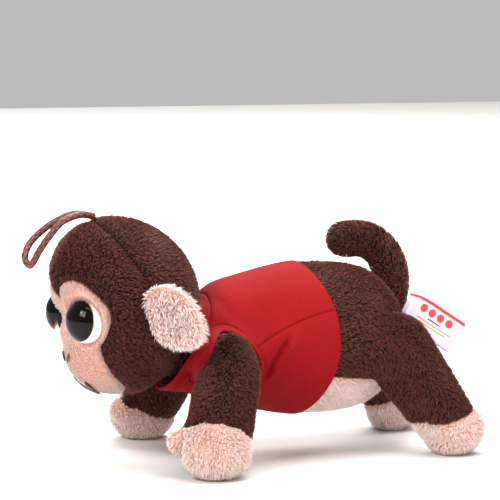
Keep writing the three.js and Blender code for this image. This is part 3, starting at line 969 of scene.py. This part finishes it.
tail_skin = form("tail", ["tail_skin", "tail_stuffing"], voxel=0.9, rounds=10, grow=-0.1)
tail = plush("tail_plush", tail_skin, BROWN, along_tail, next(random_for), [in_body])
for bending in (tail, filling("tail_stuffing", tail_skin)):
    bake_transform(bending)
stands_for("tail_skin")

# %% [markdown]
# ## Head
#
# The head is cut from a front panel, two back panels, a face mask with a lobe round each eye, and a muzzle.
# The seam over the crown is deep, and the fibres beside it carry painted shade, so it shows as a dark line
# from ear to ear.

# %% Head panels
MUZZLE_SEAM = 43.5
CROWN_POINT = Vector((0, -61.5, 84))
CROWN_NORMAL = Vector((0, 0.857, 0.515))
LOBE = Vector((12.2, 0, 53.4))
LOBE_RADII = (12.0, 12.2)
MUZZLE_CENTRE = Vector((0, 0, 40.0))
MUZZLE_RADII = (23.0, 18.5)
# how far back the pale face reaches on the cheeks, by height: round the eye, in at the notch, out at the jaw
FACE_HEIGHTS = (20, 27, 33, 38, 42.5, 46, 51.5, 57, 61, 64.5, 70)
FACE_BACKS = (-48, -52.8, -59.6, -62.8, -64, -62.4, -61.5, -62.8, -65.5, -69.5, -75)

EYE_RADIUS = 7.5
EYE_SEAT = 2.6
EYE_FORWARD = 1.2
HEAD_PIECES = ["head_front_panel", "head_back_panel_left", "head_back_panel_right", "face_mask",
               "muzzle", "head_stuffing"]
head_skin = form("head", HEAD_PIECES, voxel=1.1, rounds=14, grow=-0.25)


def oval(p, centre, radii):
    return (math.hypot((abs(p.x) - centre.x) / radii[0], (p.z - centre.z) / radii[1]) - 1) * min(radii)


def mask_line(p):
    """Below 0 inside the pale face."""
    if p.y > -48:
        return 20.0
    outline = min(oval(p, LOBE, LOBE_RADII), oval(p, MUZZLE_CENTRE, MUZZLE_RADII))
    return max(outline, p.y - float(np.interp(p.z, FACE_HEIGHTS, FACE_BACKS)))


def crown_line(p):
    return (p - CROWN_POINT).dot(CROWN_NORMAL)


def head_panel(p):
    if mask_line(p) < 0:
        return "face"
    if crown_line(p) < 0:
        return "front"
    return "back_left" if p.x > 0 else "back_right"


BRIDGE_DENTS = [((0, -78, 47), (0, -78, 51), 4.0, 7.5, (0, 1, 0))]
NAPE_SWELL = [((-8, -40, 34), (8, -40, 34), 3.6, 11.0, (0, 0.55, -0.83))]
dented(head_skin, BRIDGE_DENTS + NAPE_SWELL)


def eye_place(side):
    """Where an eye sits, and the way it looks."""
    washer, whole = centre_of("eye_washer_" + side), centre_of("eye_" + side)
    axis = (whole - washer).normalized()
    return washer + axis * EYE_SEAT * MM + Vector((0, -EYE_FORWARD * MM, 0)), axis


def seat_eyes(skin):
    """Sinks a seat for each eye and raises the cloth round it into a soft lip."""
    points = points_of(skin)
    for side in ("left", "right"):
        seat, axis = eye_place(side)
        rel = (points - np.array(seat)) / MM
        height = rel @ np.array(axis)
        out = np.linalg.norm(rel - height[:, None] * np.array(axis), axis=1)
        near = np.abs(height) < 9
        push = 1.1 * np.exp(-((out - EYE_RADIUS - 1.4) / 1.7) ** 2) - 1.6 * (out < EYE_RADIUS - 0.6)
        points += (push * near * MM)[:, None] * np.array(axis)
    set_points(skin, points)


seat_eyes(head_skin)
head_borders = [mask_line, crown_line, lambda p: p.x if crown_line(p) > 0 else 9.0]
head_parts = panels(head_skin, head_borders, head_panel, groove=1.2, width=1.1)
muzzle_split = panels(head_parts["face"], [lambda p: p.z - MUZZLE_SEAM],
                      lambda p: "mask" if p.z > MUZZLE_SEAM else "muzzle", groove=0.25, width=0.8)
print("head panels", sorted(head_parts), sorted(muzzle_split))


# %% Plush on the head
def back_and_down(points):
    """The head's nap runs back from the face and down at the cheeks."""
    flow = np.tile(np.array([0.0, 1.0, -0.15]), (len(points), 1))
    flow[:, 2] -= np.clip((50 - points[:, 2]) / 30, 0, 1)
    return flow


BETWEEN_EYES = np.array([0.0, -78.0, 50.0])


def from_nose(points):
    """The face's nap runs outwards from between the eyes."""
    return points - BETWEEN_EYES


CHEEK_CENTRE = np.array([9.0, 64.0, 36.0])
CHEEK_RADII = np.array([10.0, 12.0, 7.0])


def cheek_blush(points):
    """1 in the middle of either cheek, fading to 0. The centre is written without the signs of x and y."""
    away = np.linalg.norm((np.abs(points) - CHEEK_CENTRE) / CHEEK_RADII, axis=1)
    return np.clip(1.2 - away, 0, 1)


CHEEK = dict(FACE, blush=cheek_blush)
for mesh, node, kind, flow, slot in (
        (head_parts["front"], "head_front_panel", BROWN, back_and_down, "brown_plush"),
        (head_parts["back_left"], "head_back_panel_left", BROWN, back_and_down, "brown_plush"),
        (head_parts["back_right"], "head_back_panel_right", BROWN, back_and_down, "brown_plush"),
        (muzzle_split["mask"], "face_mask", CHEEK, from_nose, "pale_velour"),
        (muzzle_split["muzzle"], "muzzle", CHEEK, from_nose, "pale_velour")):
    piece = plush(node + "_plush", mesh, kind, flow, next(random_for))
    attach(piece, "head")
    stands_for(node)

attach(filling("head_stuffing", head_skin, 2.4), "head")

# %% [markdown]
# ## Eyes
#
# Safety eyes are moulded in one piece: a clear dome over a printed iris, here black with a thin amber line
# and a white rim. Moulded acrylic is very smooth, so the dome gets roughness 0.03. The rings are the same
# surface in other colours, chosen by the distance from the middle of the pupil.

# %% Eye material and domes
def eye_plastic():
    material, tree, shader = blank(
        "moulded acrylic, printed", Roughness=0.03, IOR=1.49, Specular_IOR_Level=0.2)
    out = stored(tree, "out")
    speck = spread(tree, -0.006, 0.006, noise_of(tree, 1.5))
    stops = [(0.0, "#020101"), (0.915, "#030202"), (0.93, "#4c260c"), (0.945, "#a8631c"), (0.96, "#f1ebe6"),
             (1.0, "#f8f4f0")]
    tinted(tree, shader, ramp(tree, maths(tree, "ADD", out, speck), stops))
    return material


EYE = eye_plastic()
EYE_DOME = 6.2
EYE_RINGS = 20
PUPIL_SHIFT = 0.7
EYE_SIDES = 64


def eye_profile(share):
    """Height of the dome in millimetres at a share of its radius."""
    return EYE_DOME * math.sqrt(max(0.0, 1 - share ** 2.3)) - 1.0


def eye(side):
    seat, axis = eye_place(side)
    turn = axis.to_track_quat("Z", "Y").to_matrix()
    to_nose = Vector((0, 0, 1)).cross(axis) * (1 if side == "left" else -1)
    pupil = seat - to_nose * PUPIL_SHIFT * MM + Vector((0, 0, 0.4)) * MM
    bm = bmesh.new()
    out = []
    rings = []
    shares = [math.sin(math.pi / 2 * i / EYE_RINGS) for i in range(1, EYE_RINGS + 1)]
    top = bm.verts.new(seat + turn @ Vector((0, 0, eye_profile(0) * MM)))
    out.append(0.0)
    for share in shares + [0.9, 0.3]:
        closing = len(rings) >= len(shares)
        height = -4.0 if closing else eye_profile(share)
        ring = []
        for k in range(EYE_SIDES):
            angle = 2 * math.pi * k / EYE_SIDES
            radius = share * EYE_RADIUS
            spot = Vector((math.cos(angle) * radius, math.sin(angle) * radius, height)) * MM
            ring.append(bm.verts.new(seat + turn @ spot))
            drawn = seat + turn @ spot - pupil
            drawn -= axis * drawn.dot(axis)
            out.append(drawn.length / MM / EYE_RADIUS if not closing else 0.0)
        rings.append(ring)
    for k in range(EYE_SIDES):
        bm.faces.new((top, rings[0][k], rings[0][(k + 1) % EYE_SIDES]))
        for inner, outer in zip(rings, rings[1:]):
            bm.faces.new((inner[k], outer[k], outer[(k + 1) % EYE_SIDES], inner[(k + 1) % EYE_SIDES]))
    bm.faces.new(list(reversed(rings[-1])))
    mesh = mesh_from(bm, "eye")
    store(mesh, out=out)
    one_finish(mesh, EYE)
    piece = placed(f"eye_{side}_dome", mesh)
    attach(piece, "head")
    stands_for("eye_" + side)
    print("eye", side, "sits at", [round(v / MM, 1) for v in seat])


for side in ("left", "right"):
    eye(side)

# %% [markdown]
# ## Stitched nose and mouth
#
# The nostrils and the mouth are satin stitch: a few strands of thick dark thread laid side by side. Each
# strand is a thin tube that follows the surface of the muzzle, found by casting a ray at it from the front.

# %% Thread
def thread(name, colour_low, colour_high):
    """Rayon embroidery thread: rather glossy, with a twist of about 0.5 mm."""
    material, tree, shader = blank(name, Roughness=0.45, IOR=1.53, Sheen_Weight=0.2)
    twist = noise_of(tree, 0.5, 1.0)
    tinted(tree, shader, ramp(tree, twist, [(0.35, colour_low), (0.65, colour_high)]))
    bumped(tree, shader, twist, 0.1)
    return material


DARK_THREAD = thread("rayon thread, dark brown", "#1a0c0a", "#4a2620")
on_head = surface_of(head_skin)


def on_muzzle(x, z, lift):
    """A place lift millimetres off the muzzle. Where no ray meets it, the nearest place serves."""
    hit, normal, _, _ = on_head.ray_cast(Vector((x, -120, z)) * MM, Vector((0, 1, 0)))
    if hit is None:
        hit, normal, _, _ = on_head.find_nearest(Vector((x, -64, z)) * MM)
    return hit + normal * lift * MM


def tube_mesh(lines, radius_mm, sides=8):
    """One mesh of round tubes with closed ends, along lists of points."""
    bm = bmesh.new()
    for line in lines:
        rings = []
        for i, point in enumerate(line):
            ahead = (line[min(i + 1, len(line) - 1)] - line[max(i - 1, 0)]).normalized()
            side = ahead.orthogonal() if i == 0 else side - ahead * side.dot(ahead)
            side.normalize()
            up = ahead.cross(side)
            taper = 0.55 if i in (0, len(line) - 1) else 1
            ring = []
            for k in range(sides):
                angle = 2 * math.pi * k / sides
                ring.append(bm.verts.new(
                    point + (side * math.cos(angle) + up * math.sin(angle)) * radius_mm * taper * MM))
            rings.append(ring)
        joined(bm, rings)
        bm.faces.new(list(reversed(rings[0])))
        bm.faces.new(rings[-1])
    bm.normal_update()
    return mesh_from(bm, "thread")


def satin_stitch(name, node, ends, strands, step_mm, radius_mm):
    """Strands side by side along a line on the muzzle, given as (x, z) points."""
    lines = []
    for strand in range(strands):
        offset = (strand - (strands - 1) / 2) * step_mm
        lines.append([on_muzzle(x, z + offset, 0.9) for x, z in ends])
    mesh = tube_mesh(lines, radius_mm)
    one_finish(mesh, DARK_THREAD)
    piece = placed(name, mesh)
    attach(piece, "head")
    stands_for(node)


for side, s in (("left", 1), ("right", -1)):
    nostril = [(s * (1.5 + 0.5 * k), 36.4 + 0.5 * k) for k in range(6)]
    satin_stitch(f"nostril_stitch_{side}_thread", f"nostril_stitch_{side}", nostril, 2, 0.5, 0.36)
smile = [(x, 25.8 + 0.075 * x * x) for x in np.linspace(-7.2, 7.2, 25)]
satin_stitch("mouth_stitch_thread", "mouth_stitch", smile, 3, 0.6, 0.45)

# %% [markdown]
# ## Ears
#
# Two leaves of long pale plush, sewn together round the edge and turned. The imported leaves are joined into
# one pad, relaxed so that it is thick in the middle and thin at the rim, and parted again between them.

# %% Ears
EAR_PILE = dict(PALE, length=2.7, per_mm2=5.5)
EAR_OUT = (0.67, 0.74)
EAR_SLANT = 0.28


def shape_ear(skin, root):
    """Slants the pad, so that its lower edge hangs further out than its upper one."""
    points = points_of(skin) / MM
    rel = points[:, 2] - root.z
    for axis, outward in ((0, EAR_OUT[0] * (1 if root.x > 0 else -1)), (1, EAR_OUT[1])):
        points[:, axis] = root[axis] + (points[:, axis] - root[axis]) * 0.9 - rel * outward * EAR_SLANT
    points[:, 2] = root.z + rel * 0.9 - 0.8
    set_points(skin, points * MM)


for side, s in (("left", 1), ("right", -1)):
    front, back = f"ear_{side}_front", f"ear_{side}_back"
    skin = form("ear_" + side, [front, back], voxel=0.7, rounds=8, grow=0.0)
    shape_ear(skin, hinge_at(f"{side}_ear_flop") / MM)
    middle = nearer(front, back)
    parts = panels(skin, [middle], lambda p: "front" if middle(p) < 0 else "back", groove=0.2, width=0.6)
    root = hinge_at(f"{side}_ear_flop")
    low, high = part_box(front)
    outward = ((low + high) / 2 - root)
    outward.z = 0
    outward.normalize()

    def across_ear(points, outward=outward):
        fan = np.tile(np.array([*outward], float), (len(points), 1))
        fan[:, 2] = -0.9
        return fan

    for part, node in (("front", front), ("back", back)):
        piece = plush(node + "_plush", parts[part], EAR_PILE, across_ear, next(random_for))
        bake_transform(piece)
        stands_for(node)

# %% [markdown]
# ## Hang loop
#
# A braided polyester cord 2.5 mm thick, folded in two and sewn into the crown seam. The braid is in the
# mesh: its radius rises and falls where the strands pass over and under each other.

# %% Braided cord
def cord_braid():
    material, tree, shader = blank(
        "braided polyester cord, red brown", Roughness=0.5, IOR=1.57, Sheen_Weight=0.08,
        Sheen_Tint=linear("#ff9d86"))
    high = stored(tree, "high")
    fine = noise_of(tree, 0.6, 2.0)
    # painted shade and highlight on the braid: dark where the strands dip under each other, light on their
    # crests
    colour = ramp(tree, high, [(0.2, "#1c0705"), (0.6, "#551a12"), (1.0, "#8c3a2a")])
    tinted(tree, shader, shaded(tree, colour, spread(tree, 0.8, 1.15, fine)))
    bumped(tree, shader, fine, 0.08)
    return material


CORD_ROUTE = [
    (1.6, -61.2, 86.2), (4.4, -67, 87), (6.4, -73.6, 85), (7, -77.8, 81), (5, -81.2, 75.5), (2, -83, 70.8),
    (-0.6, -83.8, 69.9), (-2.4, -84.6, 72.8), (-6, -81.2, 77.6), (-7, -74.2, 83), (-4.4, -67, 86.6),
    (-1.6, -61.2, 86.2)]
CORD_RADIUS = 1.25
BRAID_STRANDS = 4
BRAID_PITCH = 2.6
CORD_SIDES = 32


def through(points, steps):
    """A Catmull-Rom curve through points, with steps to each stretch."""
    knots = [np.array(p, float) for p in points]
    knots = [2 * knots[0] - knots[1], *knots, 2 * knots[-1] - knots[-2]]
    made = []
    for p0, p1, p2, p3 in zip(knots, knots[1:], knots[2:], knots[3:]):
        for i in range(steps):
            t = i / steps
            made.append(0.5 * (2 * p1 + (p2 - p0) * t + (2 * p0 - 5 * p1 + 4 * p2 - p3) * t * t
                               + (3 * p1 - p0 - 3 * p2 + p3) * t ** 3))
    made.append(knots[-2])
    return [Vector(p) for p in made]


def braided(line):
    bm = bmesh.new()
    heights = []
    rings = []
    gone = 0.0
    for i, point in enumerate(line):
        ahead = (line[min(i + 1, len(line) - 1)] - line[max(i - 1, 0)]).normalized()
        side = Vector((1, 0, 0)) if i == 0 else side
        side = (side - ahead * side.dot(ahead)).normalized()
        up = ahead.cross(side)
        gone += (point - line[i - 1]).length if i else 0
        ring = []
        for k in range(CORD_SIDES):
            turn = k / CORD_SIDES
            u = turn * BRAID_STRANDS + gone / BRAID_PITCH
            v = turn * BRAID_STRANDS - gone / BRAID_PITCH
            over = (math.floor(u) + math.floor(v)) % 2 == 0
            first, second = abs(math.sin(math.pi * u)), abs(math.sin(math.pi * v))
            high = first * (0.75 + 0.25 * second) if over else second * (0.75 + 0.25 * first)
            radius = CORD_RADIUS * (0.78 + 0.22 * math.sqrt(high))
            angle = 2 * math.pi * turn
            outward = side * math.cos(angle) + up * math.sin(angle)
            ring.append(bm.verts.new((point + outward * radius) * MM))
            heights.append(high)
        rings.append(ring)
    joined(bm, rings)
    bm.faces.new(list(reversed(rings[0])))
    bm.faces.new(rings[-1])
    bm.normal_update()
    mesh = mesh_from(bm, "hang_loop_cord")
    store(mesh, high=heights)
    one_finish(mesh, cord_braid())
    return mesh


cord_line = through(CORD_ROUTE, 24)
loop = placed("hang_loop_cord", braided(cord_line))
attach(loop, "loop")
stands_for("hang_loop")

# %% [markdown]
# ## Sewn label
#
# A strip of woven satin, folded in two. Its face is printed with plain shapes: a red strip along the top,
# round red dots, and ruled bars. The cloth bows a little, and the end that is sewn in curls.

# %% Satin and its print
def satin_print():
    material, tree, shader = blank("woven satin, printed", Roughness=0.32, IOR=1.53, Anisotropic=0.4,
                                   Sheen_Weight=0.15)
    across = stored(tree, "across")
    down = stored(tree, "down")

    def both(first, second):
        return maths(tree, "MULTIPLY", first, second)

    def band(value, low, high):
        return both(maths(tree, "GREATER_THAN", value, low), maths(tree, "LESS_THAN", value, high))

    def over(below, above, mask):
        mixed = add(tree, "ShaderNodeMix", {"Factor": mask}, data_type="RGBA")
        tree.links.new(below, mixed.inputs[6])
        mixed.inputs[7].default_value = linear(above)
        return mixed.outputs[2]

    threads = maths(tree, "SINE", maths(tree, "MULTIPLY", down, 2 * math.pi / 0.5))
    colour = ramp(tree, noise_of(tree, 4), [(0.3, "#d6c9dd"), (0.7, "#e4d9ea")])
    colour = over(colour, "#d0202f", maths(tree, "LESS_THAN", down, 1.3))
    cell = maths(tree, "SUBTRACT", maths(tree, "PINGPONG", maths(tree, "SUBTRACT", across, 4.0), 4.0), 2.0)
    off = maths(tree, "SUBTRACT", down, 3.6)
    away = maths(tree, "SQRT", maths(tree, "ADD", both(cell, cell), both(off, off)))
    dots = both(maths(tree, "LESS_THAN", away, 1.55), band(across, 4.0, 20.0))
    colour = over(colour, "#d0202f", dots)
    colour = over(colour, "#2a2430", both(band(down, 5.9, 6.4), band(across, 9.5, 15.5)))
    for top, start, end in ((7.2, 5.0, 21.0), (8.3, 6.5, 19.0)):
        colour = over(colour, "#f08a3c", both(band(down, top, top + 0.45), band(across, start, end)))
    tinted(tree, shader, colour)
    bumped(tree, shader, threads, 0.05, 0.5)
    return material


# %% Label cloth
LABEL_LENGTH = 24.0
LABEL_HEIGHT = 12.5
LABEL_START = -2.5
LABEL_STEPS = 42
LABEL_ROWS = 16
LABEL_SPREAD = 0.6
LABEL_ASIDE = 0.45  # the strip is sewn in a little to the left, clear of the tail
label_pivot = hinge_at("label_flap") / MM + Vector((LABEL_ASIDE, 0, 0))
LABEL_SLOPE = math.radians(-33)
label_along = Vector((0, math.cos(LABEL_SLOPE), math.sin(LABEL_SLOPE)))
label_up = Vector((0, -math.sin(LABEL_SLOPE), math.cos(LABEL_SLOPE)))


def label_leaf(sign):
    """Rows of points of one half of the folded strip, from the seam to the fold."""
    rows = []
    for i in range(LABEL_STEPS + 1):
        share = i / LABEL_STEPS
        curl = math.exp(-share * 9)
        row = []
        for k in range(LABEL_ROWS + 1):
            down = k / LABEL_ROWS
            height = (0.5 - down) * LABEL_HEIGHT * (1 - 0.22 * curl)
            bow = 0.7 * math.sin(math.pi * share) + 0.5 * math.sin(2.2 * math.pi * share + 2.4 * down)
            apart = (LABEL_SPREAD + 1.1 * curl) * math.sqrt(max(0, 1 - share ** 6))
            out = bow + sign * apart + curl * (down - 0.2)
            point = label_pivot + label_along * (LABEL_START + share * LABEL_LENGTH) + label_up * height
            row.append((point + Vector((out, 0, 0)), share * LABEL_LENGTH, down * LABEL_HEIGHT))
        rows.append(row)
    return rows


def label():
    bm = bmesh.new()
    strip = label_leaf(1) + list(reversed(label_leaf(-1)))[1:]
    across, down, grid = [], [], []
    for row in strip:
        line = []
        for point, a, d in row:
            line.append(bm.verts.new(point * MM))
            across.append(a)
            down.append(d)
        grid.append(line)
    for first, second in zip(grid, grid[1:]):
        for k in range(LABEL_ROWS):
            bm.faces.new((first[k], first[k + 1], second[k + 1], second[k]))
    bmesh.ops.recalc_face_normals(bm, faces=bm.faces[:])
    flat = mesh_from(bm, "label")
    store(flat, across=across, down=down)
    cloth = applied("label", flat, ("SOLIDIFY", {"thickness": 0.25 * MM, "offset": 0.0}))
    one_finish(cloth, satin_print())
    piece = placed("sewn_label_satin", cloth)
    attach(piece, "label")
    stands_for("sewn_label")


label()

# %% [markdown]
# ## What is inside
#
# The fibre fill of each form was made from its skin above. The fill of the neck and the nylon washers behind
# the eyes stay as packed, out of sight, and get the finish of the real thing: matt white polyester fibre, and
# slightly waxy moulded nylon.

# %% Nylon
def nylon():
    material, tree, shader = blank("moulded nylon, natural", Roughness=0.45, IOR=1.53, Subsurface_Weight=0.1)
    colour = ramp(tree, noise_of(tree, 2.0), [(0.3, "#ddd8ca"), (0.7, "#ebe7dc")])
    tinted(tree, shader, colour)
    return material


NYLON = nylon()
for node, shown in frame["nodes"].items():
    if shown.hide_render:
        continue
    finish = NYLON if "washer" in node else FILL
    shown.data.materials.clear()
    shown.data.materials.append(finish)
    print(node, "stays, in", finish.name)

# %% [markdown]
# ## Floor and light
#
# A wide pale floor, a large soft light in front, a larger one above and a fill behind the toy's left side,
# with a small one that the eyes mirror, one for the far part of the floor, and a little light all round.
# Shadows stay soft, and the pile still shows its relief.

# %% Stage
def stage_paper():
    material, tree, shader = blank("matt white paper", Roughness=0.8)
    colour = ramp(tree, noise_of(tree, 60), [(0.3, "#e2dfdc"), (0.7, "#e8e5e2")])
    tinted(tree, shader, colour)
    return material


def lamp(name, place, aim, size, power, colour="#ffffff"):
    data = bpy.data.lights.new(name, "AREA")
    data.shape = "RECTANGLE"
    data.size, data.size_y = size
    data.energy = power
    data.color = linear(colour)[:3]
    made = bpy.data.objects.new(name, data)
    made.location = place
    made.rotation_euler = (Vector(aim) - Vector(place)).to_track_quat("-Z", "Y").to_euler()
    bpy.context.scene.collection.objects.link(made)


bm = bmesh.new()
bmesh.ops.create_grid(bm, x_segments=4, y_segments=4, size=3.0)
floor_mesh = mesh_from(bm, "floor")
floor_mesh.materials.append(stage_paper())
floor = placed("floor", floor_mesh)

lamp("key softbox", (0.45, -0.75, 0.62), (0, 0, 0.04), (0.5, 0.5), 8)
lamp("top softbox", (0.15, 0.2, 1.0), (0, 0, 0.0), (0.8, 0.8), 13)
lamp("side fill", (1.0, 0.6, 0.4), (0, 0, 0.05), (0.6, 0.6), 5)
lamp("catch light", (0.3, -0.9, 0.72), (0, -0.06, 0.05), (0.11, 0.13), 1.6)
lamp("backdrop light", (-1.3, 0.2, 1.3), (-1.6, 0.6, 0.0), (1.2, 1.2), 60)

world = bpy.data.worlds.new("world")
bpy.context.scene.world = world
world.use_nodes = True
world.node_tree.nodes["Background"].inputs["Color"].default_value = linear("#ffffff")
world.node_tree.nodes["Background"].inputs["Strength"].default_value = 0.5
bpy.context.scene.view_settings.view_transform = "Standard"
